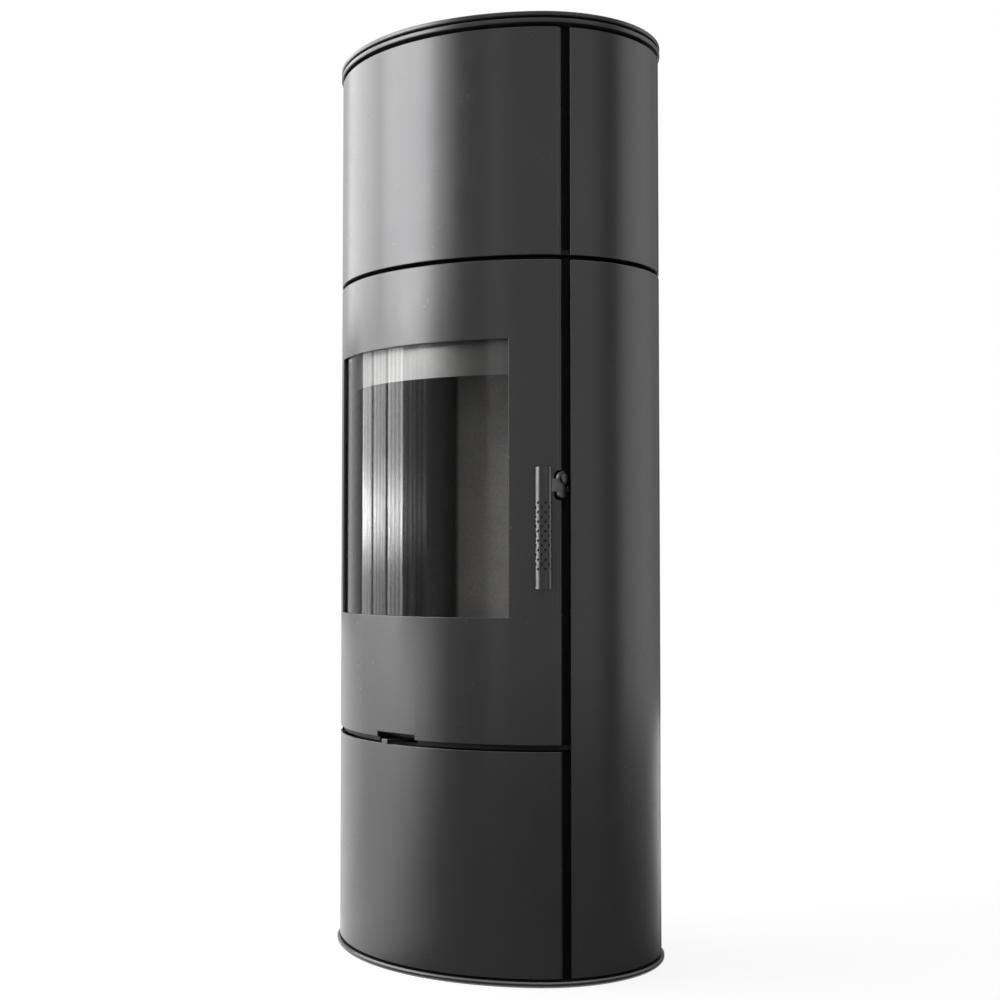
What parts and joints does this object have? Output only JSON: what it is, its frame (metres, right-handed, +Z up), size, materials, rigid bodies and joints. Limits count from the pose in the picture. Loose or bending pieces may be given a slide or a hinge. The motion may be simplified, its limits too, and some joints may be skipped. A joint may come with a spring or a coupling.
{
  "type": "wood stove",
  "caption": "Tall oval steel wood stove with a curved glass door, perforated tube handle with a claw latch, lower compartment door and a small air lever below the door.",
  "frame": {"origin": "centre of the base plate's underside, on the floor", "axes": "+Z up, -Y out of the glass door, +X to the right of someone facing the door"},
  "size_m": [0.5502, 0.4364, 1.37],
  "materials": {
    "cladding_paint": "satin anthracite stove paint",
    "inner_paint": "matt black stove paint",
    "vermiculite": "matt pressed board",
    "cast_iron": "raw casting",
    "zinc_steel": "zinc plated",
    "handle_steel": "satin grey steel",
    "latch_steel": "bare steel",
    "sheet_steel": "bare sheet",
    "stove_glass": "clear heat-proof glass",
    "seal_rope": "braided glass-fibre rope",
    "catch_plastic": "moulded"
  },
  "bodies": {
    "stove_body": {"side_panel_left": "cladding_paint", "side_panel_right": "cladding_paint", "rear_panel": "cladding_paint", "upper_side_panel_left": "cladding_paint", "upper_side_panel_right": "cladding_paint", "upper_rear_panel": "cladding_paint", "upper_front_panel": "cladding_paint", "base_plate": "cladding_paint", "top_ring": "cladding_paint", "top_plate": "cladding_paint", "air_wash_plate": "sheet_steel", "pedestal_jacket": "inner_paint", "pedestal_frame": "inner_paint", "mid_plate": "inner_paint", "divider_plate": "inner_paint", "body_jacket": "inner_paint", "upper_jacket": "inner_paint", "front_frame": "inner_paint", "firebox_shell": "inner_paint", "top_spacer": "inner_paint", "flue_pipe": "inner_paint", "flue_collar": "inner_paint", "air_collar": "inner_paint", "ash_pan_rails": "inner_paint", "striker_bracket": "inner_paint", "brick_left": "vermiculite", "brick_right": "vermiculite", "brick_back": "vermiculite", "brick_floor": "vermiculite", "baffle_plate": "vermiculite", "grate": "cast_iron", "ash_pan": "zinc_steel", "air_pivot": "zinc_steel", "striker_pin": "latch_steel", "door_hinge_pins": "latch_steel", "lower_hinge_pins": "latch_steel", "magnet_catch": "catch_plastic"},
    "door": {"door_panel": "cladding_paint", "door_glass": "stove_glass", "glass_gasket": "seal_rope", "glass_retainer_top": "inner_paint", "glass_retainer_bottom": "inner_paint", "glass_retainer_left": "inner_paint", "glass_retainer_right": "inner_paint", "door_frame": "inner_paint", "door_gasket": "seal_rope", "door_hinge_tabs": "inner_paint", "latch_bracket": "inner_paint", "latch_pivot": "latch_steel"},
    "handle": {"handle_tube": "handle_steel", "handle_caps": "handle_steel", "latch_claw": "latch_steel"},
    "lower_door": {"lower_panel": "cladding_paint", "lower_hinge_tabs": "inner_paint", "catch_plate": "zinc_steel"},
    "air_control": {"air_lever": "cladding_paint", "air_valve_disc": "zinc_steel"}
  },
  "joints": [
    {"name": "door_hinge", "type": "hinge", "parent": "stove_body", "child": "door", "pos_m": [-0.22294, -0.11112, 0.674], "axis": [0, 0, -1], "range_deg": [0, 105]},
    {"name": "handle_pivot", "type": "hinge", "parent": "door", "child": "handle", "pos_m": [0.23094, -0.10802, 0.706], "axis": [-1, 0, 0], "range_deg": [0, 30]},
    {"name": "lower_door_hinge", "type": "hinge", "parent": "stove_body", "child": "lower_door", "pos_m": [-0.22294, -0.11112, 0.168], "axis": [0, 0, -1], "range_deg": [0, 105]},
    {"name": "air_lever_pivot", "type": "hinge", "parent": "stove_body", "child": "air_control", "pos_m": [0, -0.095, 0.335], "axis": [0, 0, 1], "range_deg": [-3.9, 20]}
  ]
}
